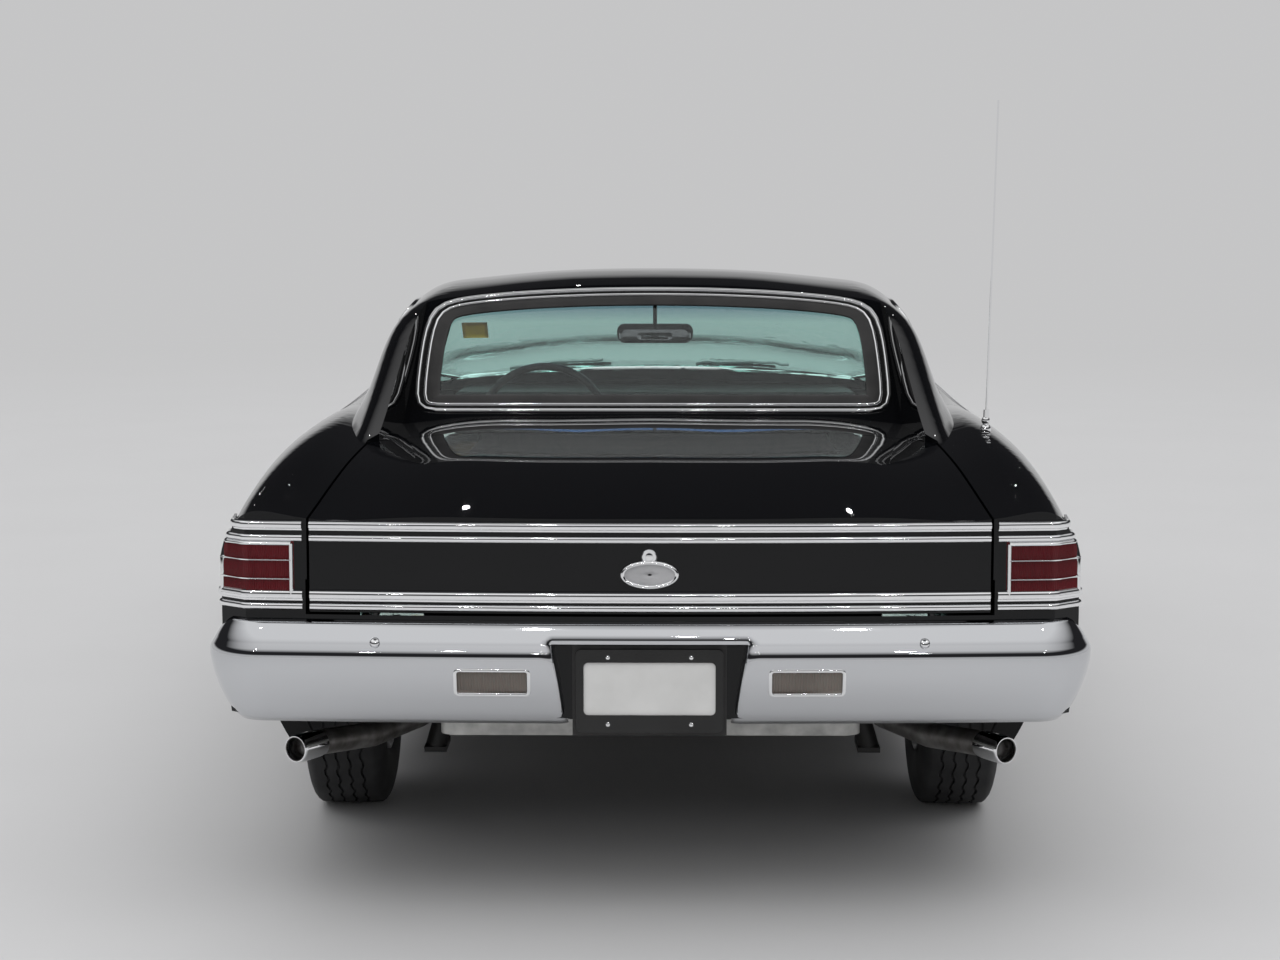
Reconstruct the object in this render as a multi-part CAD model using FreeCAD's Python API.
# Late-1960s two-door hardtop muscle car as separate panels, glass, trim, cabin and running gear
# Lengths are millimetres, +X is the car's right, +Y its nose, +Z up, origin on the ground mid-car
import FreeCAD, Part
import math
import os
from FreeCAD import Vector

# Driving dimensions
overall_length = 5004.0
overall_width = 1930.0
roof_height = 1318.0
wheelbase = 2921.0
rear_overhang = 1222.0
rear_track = 1520.0
front_track = 1490.0
tyre_radius = 335.0
tyre_width = 200.0
body_clearance_height = 215.0

# Shared clearances and gauges
shut_line = 6.0
seat_gap = 0.3
moving_gap = 8.0
overrun = 40.0
glass_thickness = 6.0
skin_inset = 30.0
wall_inset = 70.0

half_length = overall_length / 2
half_width = overall_width / 2
rear_axle_y = rear_overhang - half_length
front_axle_y = rear_axle_y + wheelbase
across = Vector(1, 0, 0)
along = Vector(0, 1, 0)
upward = Vector(0, 0, 1)
origin = Vector(0, 0, 0)

os.makedirs("parts", exist_ok=True)


def save(name, shape):
    shape.exportStep("parts/" + name + ".step")


def closed_solid(faces):
    # A solid from faces that close on each other
    shell = Part.makeShell(faces)
    shell.sewShape()
    solid = Part.makeSolid(shell)
    return solid if solid.Volume > 0 else solid.reversed()


def mirrored(shape):
    return shape.mirror(origin, across)


def both_sides(shape):
    return Part.makeCompound([shape, mirrored(shape)])


def fused(shapes):
    return shapes[0].fuse(shapes[1:]).removeSplitter()


def box(x0, x1, y0, y1, z0, z1):
    return Part.makeBox(x1 - x0, y1 - y0, z1 - z0, Vector(x0, y0, z0))


def side_prism(points, x0, x1):
    # A closed outline of (y, z) points, pulled across the car from x0 to x1
    corners = [Vector(x0, y, z) for y, z in points]
    return Part.Face(Part.makePolygon(corners + corners[:1])).extrude(Vector(x1 - x0, 0, 0))


def plan_prism(points, z0, z1):
    # A closed outline of (x, y) points, pulled up from z0 to z1
    corners = [Vector(x, y, z0) for x, y in points]
    return Part.Face(Part.makePolygon(corners + corners[:1])).extrude(Vector(0, 0, z1 - z0))


def front_prism(points, y0, y1):
    # A closed outline of (x, z) points, pulled along the car from y0 to y1
    corners = [Vector(x, y0, z) for x, z in points]
    return Part.Face(Part.makePolygon(corners + corners[:1])).extrude(Vector(0, y1 - y0, 0))


def cross_cylinder(radius, x0, x1, y, z):
    return Part.makeCylinder(radius, x1 - x0, Vector(x0, y, z), across)


def rod(start, end, radius):
    return Part.makeCylinder(radius, (end - start).Length, start, end - start)


def tube_path(points, radius):
    # A round bar through the points, mitred at each corner
    sweep = Part.BRepOffsetAPI.MakePipeShell(Part.makePolygon(points))
    sweep.setTransitionMode(1)
    sweep.add(Part.Wire(Part.makeCircle(radius, points[0], points[1] - points[0])))
    sweep.build()
    sweep.makeSolid()
    return sweep.shape()


def blend(a, b, share):
    return a + (b - a) * share


# Lower body form
# Each row: station, widest and crest half-width, crest height, shoulder drop, seam and centre height
body_station_shares = [
    (-0.999, 0.953, 0.893, 0.662, 0.030, 0.658, 0.659),
    (-0.951, 0.962, 0.899, 0.672, 0.032, 0.669, 0.673),
    (-0.879, 0.970, 0.902, 0.688, 0.036, 0.685, 0.692),
    (-0.759, 0.983, 0.894, 0.712, 0.041, 0.709, 0.717),
    (-0.640, 0.994, 0.887, 0.726, 0.045, 0.723, 0.731),
    (-0.512, 1.000, 0.881, 0.731, 0.046, 0.730, 0.739),
    (-0.360, 0.995, 0.883, 0.727, 0.046, 0.728, 0.742),
    (-0.200, 0.984, 0.897, 0.712, 0.040, 0.716, 0.740),
    (0.000, 0.980, 0.912, 0.700, 0.035, 0.707, 0.734),
    (0.200, 0.982, 0.920, 0.697, 0.032, 0.704, 0.730),
    (0.360, 0.988, 0.924, 0.694, 0.030, 0.702, 0.725),
    (0.520, 0.993, 0.926, 0.690, 0.029, 0.698, 0.719),
    (0.656, 0.994, 0.924, 0.684, 0.028, 0.692, 0.712),
    (0.799, 0.984, 0.916, 0.673, 0.027, 0.681, 0.698),
    (0.919, 0.964, 0.899, 0.659, 0.027, 0.666, 0.678),
    (0.999, 0.943, 0.883, 0.646, 0.027, 0.652, 0.662),
]
tuck_share = 0.098
knee_share = 0.064
flank_share = 0.025
knee_height = 280.0
flank_height = 430.0
waist_height = 600.0
feature_height = 720.0
side_ease = 3.0
shoulder_low_share = 1.5
shoulder_high_share = 0.42
shoulder_in_share = 0.30
shoulder_out_share = 0.34
deck_in_share = 0.10


def half_section(station):
    # Points of the right half of one cross-section, from the sill up to the middle of the top
    widest, crest, crest_z, drop, seam_z, centre_z = station
    wide = half_width * widest
    crest_x = half_width * crest
    crest_top = roof_height * crest_z
    fall = roof_height * drop
    seam_top = roof_height * seam_z
    centre_top = roof_height * centre_z
    shoulder = wide - crest_x
    return [
        (wide - half_width * tuck_share, body_clearance_height),
        (wide - half_width * knee_share, knee_height),
        (wide - half_width * flank_share, flank_height),
        (wide - side_ease, waist_height),
        (wide - side_ease, feature_height),
        (wide - shoulder * shoulder_in_share, crest_top - fall * shoulder_low_share),
        (crest_x + shoulder * shoulder_out_share, crest_top - fall * shoulder_high_share),
        (crest_x, crest_top),
        (crest_x - half_width * deck_in_share, blend(seam_top, crest_top, 0.3)),
        (crest_x * 0.62, blend(seam_top, centre_top, 0.35)),
        (crest_x * 0.30, blend(seam_top, centre_top, 0.85)),
        (0, centre_top),
    ]


def spacing_parameters(half):
    # Knots shared by every section, so that the lofted skin stays light
    lengths = [0.0]
    for a, b in zip(half[:-1], half[1:]):
        lengths.append(lengths[-1] + math.hypot(b[0] - a[0], b[1] - a[1]))
    shares = [length / lengths[-1] / 2 for length in lengths]
    return shares + [1 - share for share in reversed(shares[:-1])]


def arch_wire(half, y, parameters):
    right = [Vector(x, y, z) for x, z in half]
    left = [Vector(-x, y, z) for x, z in reversed(half[:-1])]
    curve = Part.BSplineCurve()
    curve.interpolate(Points=right + left, Parameters=parameters)
    return Part.Wire([curve.toShape(), Part.makeLine(left[-1], right[0])])


def body_form(inset):
    # The lower body as a solid, its skin moved inwards by the inset
    middle = half_section(body_station_shares[8][1:])
    parameters = spacing_parameters(middle)
    wires = []
    for row in body_station_shares:
        half = half_section(row[1:])
        wide = max(x for x, z in half)
        top = max(z for x, z in half)
        squeeze = (wide - inset) / wide
        lower = (top - body_clearance_height - inset) / (top - body_clearance_height)
        moved = [(x * squeeze, body_clearance_height + (z - body_clearance_height) * lower) for x, z in half]
        wires.append(arch_wire(moved, half_length * row[0], parameters))
    return Part.makeLoft(wires, True, False)


# Ends of the lower body, seen from above and from the side
tail_setback = 50.0
tail_y = tail_setback - half_length
tail_bow = 42.0
tail_corner_share = 0.90
tail_corner_turn = 120.0
nose_setback = 62.0
nose_y = half_length - nose_setback
nose_bow = 60.0
nose_corner_turn = 60.0
tail_under_height = 446.0
tail_under_run = 140.0
quarter_sill_height = 305.0
quarter_sill_run = 420.0
quarter_sill_y = rear_axle_y - quarter_sill_run
nose_under_height = 400.0
fender_sill_height = 262.0
fender_sill_run = 440.0
fender_sill_y = front_axle_y + fender_sill_run
nose_lean = 70.0
nose_lean_height = 640.0


def end_outline(inset):
    # Plan of the body: bowed tail and nose with turned corners
    tail = tail_y + inset
    nose = nose_y - inset
    wide = half_width + overrun
    corner = half_width * tail_corner_share
    tail_end = tail + tail_bow
    nose_end = nose - nose_bow
    back = Part.Arc(Vector(-corner, tail_end, 0), Vector(0, tail, 0), Vector(corner, tail_end, 0))
    front = Part.Arc(Vector(corner, nose_end, 0), Vector(0, nose, 0), Vector(-corner, nose_end, 0))
    right = [
        Vector(corner, tail + tail_bow, 0),
        Vector(wide, tail + tail_bow + tail_corner_turn, 0),
        Vector(wide, nose - nose_bow - nose_corner_turn, 0),
        Vector(corner, nose - nose_bow, 0),
    ]
    left = [Vector(-p.x, p.y, p.z) for p in reversed(right)]
    edges = [back.toShape()]
    edges += [Part.makeLine(a, b) for a, b in zip(right[:-1], right[1:])]
    edges += [front.toShape()]
    edges += [Part.makeLine(a, b) for a, b in zip(left[:-1], left[1:])]
    return Part.Face(Part.Wire(Part.__sortEdges__(edges))).extrude(Vector(0, 0, roof_height))


def side_outline(inset):
    # Side view of the body: under the tail, sills and the nose that leans forward
    tail = tail_y + inset
    nose = nose_y - inset
    points = [
        (tail - overrun, roof_height),
        (tail, roof_height),
        (tail, tail_under_height),
        (tail_y + tail_under_run, tail_under_height),
        (quarter_sill_y, quarter_sill_height),
        (quarter_sill_y + overrun, body_clearance_height),
        (fender_sill_y - overrun, body_clearance_height),
        (fender_sill_y, fender_sill_height),
        (nose - nose_lean, nose_under_height),
        (nose - nose_lean, nose_lean_height),
        (nose, feature_height),
        (nose, roof_height),
    ]
    return side_prism(points[1:], -half_width - overrun, half_width + overrun)


def trimmed_form(inset):
    return body_form(inset).common(end_outline(inset)).common(side_outline(inset))


outer_form = trimmed_form(0)
skin_form = trimmed_form(skin_inset)
wall_form = trimmed_form(wall_inset)
skin_shell = outer_form.cut(skin_form)
wall_shell = outer_form.cut(wall_form)

# Greenhouse form
# Each row: station, belt half-width, rail half-width, rail height, centre height
canopy_station_shares = [
    (-0.640, 0.800, 0.715, 0.715, 0.720),
    (-0.600, 0.822, 0.708, 0.734, 0.743),
    (-0.520, 0.836, 0.702, 0.795, 0.825),
    (-0.440, 0.840, 0.698, 0.862, 0.905),
    (-0.360, 0.838, 0.694, 0.915, 0.962),
    (-0.280, 0.834, 0.690, 0.930, 0.988),
    (-0.180, 0.832, 0.688, 0.938, 0.998),
    (-0.080, 0.832, 0.686, 0.940, 1.000),
    (0.000, 0.832, 0.676, 0.935, 0.990),
    (0.070, 0.832, 0.658, 0.916, 0.968),
    (0.150, 0.832, 0.698, 0.822, 0.890),
    (0.220, 0.830, 0.740, 0.722, 0.812),
    (0.290, 0.810, 0.700, 0.655, 0.735),
]
belt_height = 905.0
canopy_base_height = 800.0
canopy_base_flare = 14.0
rail_turn = 30.0


def canopy_half(row):
    # Right half of one greenhouse arch: leaning side, turned rail, crowned roof
    belt, rail, rail_z, centre_z = row
    belt_x = half_width * belt
    rail_x = half_width * rail
    rail_top = roof_height * rail_z
    centre_top = roof_height * centre_z
    crown = centre_top - rail_top
    low = min(belt_height, rail_top - rail_turn)
    return [
        (belt_x + canopy_base_flare, canopy_base_height),
        (belt_x, blend(canopy_base_height, low, 0.95)),
        (blend(belt_x, rail_x, 0.5), blend(low, rail_top, 0.52)),
        (rail_x, rail_top),
        (rail_x * 0.945, rail_top + crown * 0.34),
        (rail_x * 0.80, rail_top + crown * 0.62),
        (rail_x * 0.45, rail_top + crown * 0.90),
        (0, centre_top),
    ]


def canopy_form(inset):
    middle = canopy_half(canopy_station_shares[6][1:])
    parameters = spacing_parameters(middle)
    wires = []
    for row in canopy_station_shares:
        half = canopy_half(row[1:])
        wide = max(x for x, z in half)
        squeeze = (wide - inset) / wide
        moved = [(x * squeeze, z - inset) for x, z in half]
        wires.append(arch_wire(moved, half_length * row[0], parameters))
    return Part.makeLoft(wires, True, False)


canopy_outer = canopy_form(0)

# Panel seams
door_rear_y = -485.0
door_front_y = 640.0
door_inner_x = 775.0
door_jamb_slant = 26.0
sill_top = 275.0
cowl_front_y = 764.0
hood_front_y = half_length
hood_half = 668.0
hood_nose_half = 640.0
lid_front_y = -1500.0
lid_front_half = 690.0
lid_rear_half = 732.0
lid_corner = 42.0
lid_lip_height = 672.0
deck_front_y = -1060.0
quarter_wall_y = -1010.0
rear_panel_height = 420.0

# Wheel openings
rear_opening_run = 372.0
rear_opening_rise = 352.0
rear_opening_height = 305.0
front_opening_run = 392.0
front_opening_rise = 384.0
front_opening_height = 306.0
opening_inner_x = 480.0


def wheel_opening(y, height, run, rise):
    # Half-oval cut for a wheel, with straight sides down to the ground
    oval = Part.Ellipse(Vector(opening_inner_x, y, height), run, rise)
    oval.rotate(FreeCAD.Placement(Vector(opening_inner_x, y, height), upward, 90))
    face = Part.Face(Part.Wire(oval.toShape()))
    face.rotate(Vector(opening_inner_x, y, height), along, 90)
    cut = face.extrude(Vector(half_width, 0, 0))
    legs = box(opening_inner_x, opening_inner_x + half_width, y - run, y + run, -overrun, height)
    return both_sides(cut.fuse(legs))


rear_openings = wheel_opening(rear_axle_y, rear_opening_height, rear_opening_run, rear_opening_rise)
front_openings = wheel_opening(front_axle_y, front_opening_height, front_opening_run, front_opening_rise)

# Greenhouse openings
rear_glass_base_y = -1120.0
rear_glass_base_height = 985.0
rear_glass_top_y = -790.0
rear_glass_top_height = 1266.0
tunnel_top_half = 606.0
tunnel_base_half = 640.0
tunnel_tip_half = 672.0
tunnel_tip_y = -1560.0
roof_gauge = 34.0
pillar_inner_half = 588.0
pillar_front_y = -660.0
daylight_points = [
    (575.0, 880.0),
    (556.0, 925.0),
    (178.0, 1206.0),
    (120.0, 1224.0),
    (-520.0, 1226.0),
    (-640.0, 1214.0),
    (-705.0, 1170.0),
    (-845.0, 925.0),
    (-845.0, 880.0),
]
windshield_points = [
    (712.0, 900.0),
    (706.0, 950.0),
    (618.0, 1196.0),
    (590.0, 1226.0),
    (300.0, 1250.0),
    (0.0, 1257.0),
]
windshield_rear_y = 140.0
windshield_front_y = 760.0


def glass_line(offset):
    # Two points on the rear window's plane, moved back off the glass, and its slope
    rise = rear_glass_top_height - rear_glass_base_height
    run = rear_glass_top_y - rear_glass_base_y
    length = math.hypot(rise, run)
    back = Vector(0, -rise / length * offset, run / length * offset)
    low = Vector(0, rear_glass_base_y, rear_glass_base_height) + back
    high = Vector(0, rear_glass_top_y, rear_glass_top_height) + back
    return low, high, (high - low).normalize()


def rear_tunnel():
    # The space behind the rear window, between the two sail panels
    low, high, slope = glass_line(0)
    below = low - slope * wall_inset * 2
    above = high + slope * wall_inset
    outline = [
        (below.y, below.z),
        (above.y, above.z),
        (above.y, roof_height + overrun),
        (tunnel_tip_y - overrun, roof_height + overrun),
        (tunnel_tip_y - overrun, below.z),
    ]
    side = side_prism(outline, -half_width, half_width)
    plan = [
        (tunnel_top_half, rear_glass_top_y + wall_inset),
        (tunnel_top_half, rear_glass_top_y),
        (tunnel_base_half, rear_glass_base_y),
        (tunnel_tip_half, tunnel_tip_y),
        (tunnel_tip_half, tunnel_tip_y - overrun),
    ]
    plan += [(-x, y) for x, y in reversed(plan)]
    return side.common(plan_prism(plan, canopy_base_height, roof_height + overrun))


def windshield_region(inset):
    # The windshield's opening seen from the front
    right = [((x - inset) if x else 0.0, z - inset) for x, z in windshield_points]
    right[0] = (right[0][0], windshield_points[0][1] + inset)
    outline = right + [(-x, z) for x, z in reversed(right[:-1])]
    return front_prism(outline, windshield_rear_y, windshield_front_y)


canopy_inner = canopy_form(roof_gauge)
tunnel = rear_tunnel()


def grown_plan(points, grow):
    # A mirrored plan outline of right-hand (x, y) points listed from rear to front, grown all round
    first, last = points[0], points[-1]
    right = [(first[0] + grow, first[1] - grow)]
    right += [(x + grow, y) for x, y in points[1:-1]]
    right += [(last[0] + grow, last[1] + grow)]
    return right + [(-x, y) for x, y in reversed(right)]


def lid_region(grow):
    points = [
        (lid_rear_half, tail_y - overrun),
        (lid_front_half, lid_front_y - lid_corner),
        (lid_front_half - lid_corner, lid_front_y),
    ]
    return plan_prism(grown_plan(points, grow), lid_lip_height - grow, roof_height)


def roof():
    # Roof skin with windshield pillars and the two solid sail panels
    ahead = box(-half_width, half_width, pillar_front_y, half_length, 0, roof_height)
    front_hollow = canopy_inner.common(ahead)
    rear_hollow = canopy_inner.common(
        box(-pillar_inner_half, pillar_inner_half, rear_glass_base_y, pillar_front_y + overrun, 0, roof_height))
    shape = canopy_outer.cut(front_hollow).cut(rear_hollow).cut(tunnel)
    shape = shape.cut(side_prism(daylight_points, -half_width, half_width))
    shape = shape.cut(windshield_region(0))
    shape = shape.cut(outer_form).cut(lid_region(shut_line))
    shape = shape.cut(box(-half_width, half_width, -half_length, half_length, 0, belt_height))
    half = shape.common(box(0, half_width, -half_length, half_length, 0, roof_height + overrun))
    half = max(half.Solids, key=lambda solid: solid.Volume)
    return half.fuse(mirrored(half))


roof_panel = roof()
save("roof", roof_panel)


def hood_region(grow):
    points = [(hood_half, cowl_front_y + shut_line), (hood_nose_half, hood_front_y)]
    return plan_prism(grown_plan(points, grow), nose_panel_top + shut_line - grow, roof_height)


def trunk_lid():
    shape = skin_shell.common(lid_region(0))
    well = side_prism([
        (tail_y - overrun, lid_lip_height - overrun),
        (tail_y + skin_inset + tail_bow * 2, lid_lip_height - overrun),
        (tail_y + skin_inset + tail_bow * 2, waist_height + wall_inset * 2),
        (0, waist_height + wall_inset * 2),
        (0, roof_height),
        (tail_y - overrun, roof_height),
    ], -half_width, half_width)
    return shape.common(well)


# Hood pads
pad_rise = 11.0
pad_inner_x = 150.0
pad_outer_x = 400.0
pad_rear_y = 1010.0
pad_front_y = 1560.0


# Hinge leaves that fill the shut line down to a running gap
hood_leaf_x = 490.0
hood_leaf_length = 70.0
hood_leaf_base = 912.0
lid_leaf_x = 430.0
lid_leaf_base = 934.0
leaf_gauge = 16.0
door_leaf_inner_x = 838.0
door_leaf_outer_x = 892.0
door_leaf_heights = (400.0, 740.0)
door_leaf_height = 70.0


def hood():
    shape = skin_shell.common(hood_region(0))
    pad = body_form(-pad_rise).common(
        box(pad_inner_x, pad_outer_x, pad_rear_y, pad_front_y, feature_height, roof_height))
    pads = both_sides(pad.cut(skin_form))
    return fused([shape] + pads.Solids)


def jamb_region(front_y, rear_y, grow):
    # Plan of a door opening: square at the hinge, slanted at the rear jamb
    outer = half_width + overrun
    slant = door_jamb_slant / (half_width - door_inner_x)
    points = [
        (door_inner_x - grow, front_y + grow),
        (outer, front_y + grow),
        (outer, rear_y - grow - slant * overrun),
        (door_inner_x - grow, rear_y - grow + door_jamb_slant),
    ]
    return plan_prism(points, 0, roof_height)


# Side glass
glass_seat_height = 880.0
glass_inset = 17.0
glass_edge_gap = 7.0
window_split_y = door_rear_y + door_jamb_slant - moving_gap


def side_glass(edge_gap, rear_y, front_y):
    # A curved pane that follows the greenhouse's leaning side, cut back from the window's edges
    pane = canopy_form(glass_inset).cut(canopy_form(glass_inset + glass_thickness))
    ys = [y for y, z in daylight_points]
    middle_y = (max(ys) + min(ys)) / 2
    outline = []
    for y, z in daylight_points:
        shifted = y - math.copysign(edge_gap * 2, y - middle_y)
        top = z - edge_gap if z > belt_height + overrun else z
        outline.append((shifted, top))
    pane = pane.common(side_prism(outline, door_inner_x / 2, half_width))
    return pane.common(box(0, half_width, rear_y, front_y, glass_seat_height, roof_height))


def door():
    shell = outer_form.common(jamb_region(door_front_y, door_rear_y, 0))
    shell = shell.common(box(0, half_width, -half_length, half_length, sill_top + shut_line, roof_height))
    pane = side_glass(glass_edge_gap, window_split_y + glass_edge_gap, half_length)
    return shell, pane.cut(shell)


def quarter_panel():
    limits = box(0, half_width + overrun, -half_length, door_rear_y - shut_line, 0, roof_height)
    shape = wall_shell.common(limits)
    jamb_y = door_rear_y - shut_line + door_jamb_slant
    wall = outer_form.common(box(door_inner_x, half_width, quarter_wall_y, jamb_y,
                                 body_clearance_height + skin_inset * 2, roof_height))
    shape = shape.fuse(wall)
    shape = shape.cut(jamb_region(door_front_y, door_rear_y, shut_line))
    shape = shape.cut(box(0, door_inner_x, deck_front_y, 0, 0, roof_height))
    shape = shape.cut(box(0, deck_half, lid_front_y + shut_line, deck_front_y, 0, roof_height))
    shape = shape.cut(lid_region(shut_line))
    shape = shape.cut(box(0, lid_rear_half + shut_line, -half_length, 0, 0, lid_lip_height + wall_inset))
    shape = shape.cut(box(0, half_width - tuck_share * half_width - wall_inset, -half_length, 0, 0,
                          body_clearance_height + wall_inset + seat_gap))
    shape = shape.cut(rear_openings)
    shape = shape.cut(rocker_zone(seat_gap))
    shape = shape.cut(tail_lamp_pocket(0))
    return max(shape.Solids, key=lambda solid: solid.Volume)


# Tail lamps
lamp_inner_x = 762.0
lamp_outer_x = 960.0
lamp_bottom = 702.0
lamp_top = 824.0
lamp_depth = 96.0
deck_half = 664.0


def tail_lamp_pocket(gap):
    low = tail_y - overrun
    high = tail_y + tail_bow + lamp_depth - gap
    return box(lamp_inner_x + gap, lamp_outer_x, low, high, lamp_bottom + gap, lamp_top - gap)


def tail_lamps():
    lamp = outer_form.common(tail_lamp_pocket(seat_gap)).cut(wall_form)
    return both_sides(max(lamp.Solids, key=lambda solid: solid.Volume))


def deck_panel():
    shape = skin_shell.common(box(-deck_half, deck_half, lid_front_y + shut_line, deck_front_y,
                                  feature_height, roof_height))
    leaf = box(lid_leaf_x, lid_leaf_x + hood_leaf_length, lid_front_y + seat_gap, lid_front_y + shut_line,
               lid_leaf_base, lid_leaf_base + leaf_gauge)
    return shape.fuse([leaf, mirrored(leaf)])


def rear_end_panel():
    half = lid_rear_half + shut_line
    shape = skin_shell.common(box(-half, half, tail_y - overrun, tail_y + tail_bow + wall_inset,
                                  rear_panel_height, lid_lip_height - shut_line))
    return max(shape.Solids, key=lambda solid: solid.Volume)


# Cowl
cowl_rear_y = 590.0
fender_rear_y = door_front_y + shut_line
pillar_foot_half = 700.0


def cowl_panel():
    points = [
        (door_inner_x - shut_line, cowl_rear_y),
        (door_inner_x - shut_line, fender_rear_y),
        (pillar_foot_half, fender_rear_y),
        (pillar_foot_half, cowl_front_y),
    ]
    points += [(-x, y) for x, y in reversed(points)]
    shape = skin_shell.common(plan_prism(points, feature_height, roof_height))
    leaf = box(hood_leaf_x, hood_leaf_x + hood_leaf_length, cowl_front_y, cowl_front_y + shut_line - seat_gap,
               hood_leaf_base, hood_leaf_base + leaf_gauge)
    return shape.fuse([leaf, mirrored(leaf)])


# Nose
nose_panel_half = 812.0
nose_panel_top = 806.0
nose_panel_depth = 150.0
grille_half = 780.0
grille_top = 788.0
grille_bottom = 578.0


def fender():
    limits = box(0, half_width + overrun, fender_rear_y, half_length, 0, roof_height)
    shape = wall_shell.common(limits)
    shape = shape.cut(box(0, pillar_foot_half, fender_rear_y, cowl_front_y + shut_line, 0, roof_height))
    shape = shape.cut(hood_region(shut_line))
    shape = shape.cut(box(0, hood_nose_half + shut_line, 0, half_length, 0, roof_height))
    nose_rear_y = nose_y - nose_panel_depth - nose_bow
    shape = shape.cut(box(0, nose_panel_half, nose_rear_y, half_length, 0, nose_panel_top))
    shape = shape.cut(box(0, half_width - tuck_share * half_width - wall_inset, 0, half_length, 0,
                          body_clearance_height + wall_inset + seat_gap))
    shape = shape.cut(front_openings)
    shape = shape.cut(rocker_zone(seat_gap))
    leaves = [box(door_leaf_inner_x, door_leaf_outer_x, door_front_y + seat_gap, fender_rear_y,
                  base, base + door_leaf_height) for base in door_leaf_heights]
    pillar = outer_form.common(box(door_inner_x, half_width, fender_rear_y, fender_rear_y + wall_inset / 2,
                                   sill_top + seat_gap, door_leaf_heights[1] + door_leaf_height * 1.5))
    return max(shape.Solids, key=lambda solid: solid.Volume).fuse([pillar] + leaves)


def front_end_panel():
    # Nose panel round the grille, with its lower pan
    half = nose_panel_half - seat_gap
    shape = wall_shell.common(box(-half, half, nose_y - nose_panel_depth, half_length,
                                  rear_panel_height, nose_panel_top - seat_gap))
    shape = shape.cut(box(-grille_half, grille_half, nose_y - nose_panel_depth * 2, half_length,
                          grille_bottom, grille_top))
    return max(shape.Solids, key=lambda solid: solid.Volume)


def rocker_zone(grow):
    # The sill between the wheel openings
    rear = rear_axle_y + rear_opening_run
    front = front_axle_y - front_opening_run
    inner = rail_mid_half + rail_width / 2
    return box(inner, half_width, rear - overrun, front + overrun, 0, sill_top + grow)


def rocker_panels():
    shape = outer_form.common(rocker_zone(0)).cut(rear_openings).cut(front_openings)
    return both_sides(shape.Solids[0])



# Window glass
pane_gap = 3.0


def windshield():
    pane = canopy_form(pane_gap).cut(canopy_form(pane_gap + glass_thickness))
    pane = pane.common(windshield_region(pane_gap)).cut(outer_form)
    pane = pane.cut(box(-half_width, half_width, -half_length, windshield_rear_y + pane_gap, 0, roof_height))
    return max(pane.Solids, key=lambda solid: solid.Volume)


def rear_window():
    # A flat pane in the tunnel, its foot on the deck and its head under the roof's rear edge
    low, high, slope = glass_line(-pane_gap)
    deep_low, deep_high, slope = glass_line(-pane_gap - glass_thickness)
    outline = [(low.y, low.z), (high.y, high.z), (deep_high.y, deep_high.z), (deep_low.y, deep_low.z)]
    pane = side_prism(outline, -pillar_inner_half + pane_gap, pillar_inner_half - pane_gap)
    pane = pane.cut(outer_form).cut(roof_panel)
    return max(pane.Solids, key=lambda solid: solid.Volume)


def quarter_glass():
    pane = side_glass(0, -half_length, window_split_y - glass_edge_gap)
    pane = pane.cut(outer_form).cut(roof_panel)
    return both_sides(max(pane.Solids, key=lambda solid: solid.Volume))


# Bumpers
bumper_corner_turn = 130.0
bumper_wrap = 330.0
bumper_half = 957.0
bumper_bow = 30.0
bumper_section_points = [
    (58.0, 656.0),
    (32.0, 636.0),
    (15.0, 614.0),
    (4.0, 597.0),
    (0.0, 582.0),
    (3.0, 556.0),
    (13.0, 520.0),
    (29.0, 481.0),
    (48.0, 450.0),
    (68.0, 431.0),
    (82.0, 431.0),
    (60.0, 454.0),
    (42.0, 486.0),
    (27.0, 523.0),
    (17.0, 558.0),
    (14.0, 581.0),
    (18.0, 592.0),
    (28.0, 606.0),
    (44.0, 626.0),
    (68.0, 644.0),
]
plate_recess_top_half = 207.0
plate_recess_base_half = 168.0
plate_recess_top = 607.0
reversing_lamp_inner = 257.0
reversing_lamp_outer = 414.0
reversing_lamp_bottom = 502.0
reversing_lamp_top = 557.0


def bumper_path(face_y, height, turn):
    # Half-wrapped plan line: side, corner, bowed tail, corner, side; turn is +1 towards the nose
    inner = bumper_half - bumper_corner_turn
    corner_y = face_y + turn * (bumper_bow + bumper_corner_turn)
    tail_y0 = face_y + turn * bumper_bow
    mid = bumper_corner_turn * (1 - math.sqrt(0.5))
    end = corner_y + turn * (bumper_wrap - bumper_corner_turn)
    points = [Vector(bumper_half, end, height), Vector(bumper_half, corner_y, height)]
    corner = Part.Arc(points[1], Vector(bumper_half - mid, tail_y0 + turn * mid, height),
                      Vector(inner, tail_y0, height))
    other = Part.Arc(Vector(-inner, tail_y0, height),
                     Vector(mid - bumper_half, tail_y0 + turn * mid, height),
                     Vector(-bumper_half, corner_y, height))
    bow = Part.Arc(Vector(inner, tail_y0, height), Vector(0, face_y, height), Vector(-inner, tail_y0, height))
    edges = [
        Part.makeLine(points[0], points[1]),
        corner.toShape(),
        bow.toShape(),
        other.toShape(),
        Part.makeLine(Vector(-bumper_half, corner_y, height), Vector(-bumper_half, end, height)),
    ]
    return Part.Wire(edges), end


def bumper_bar(face_y, section, turn):
    # The C-shaped section swept round the end of the car
    base = section[0][1]
    path, end = bumper_path(face_y, base, turn)
    corners = [Vector(bumper_half - depth, end, height) for depth, height in section]
    profile = Part.makePolygon(corners + corners[:1])
    sweep = Part.BRepOffsetAPI.MakePipeShell(path)
    sweep.setTransitionMode(2)
    sweep.add(profile, False, False)
    sweep.build()
    sweep.makeSolid()
    return sweep.shape()


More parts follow.
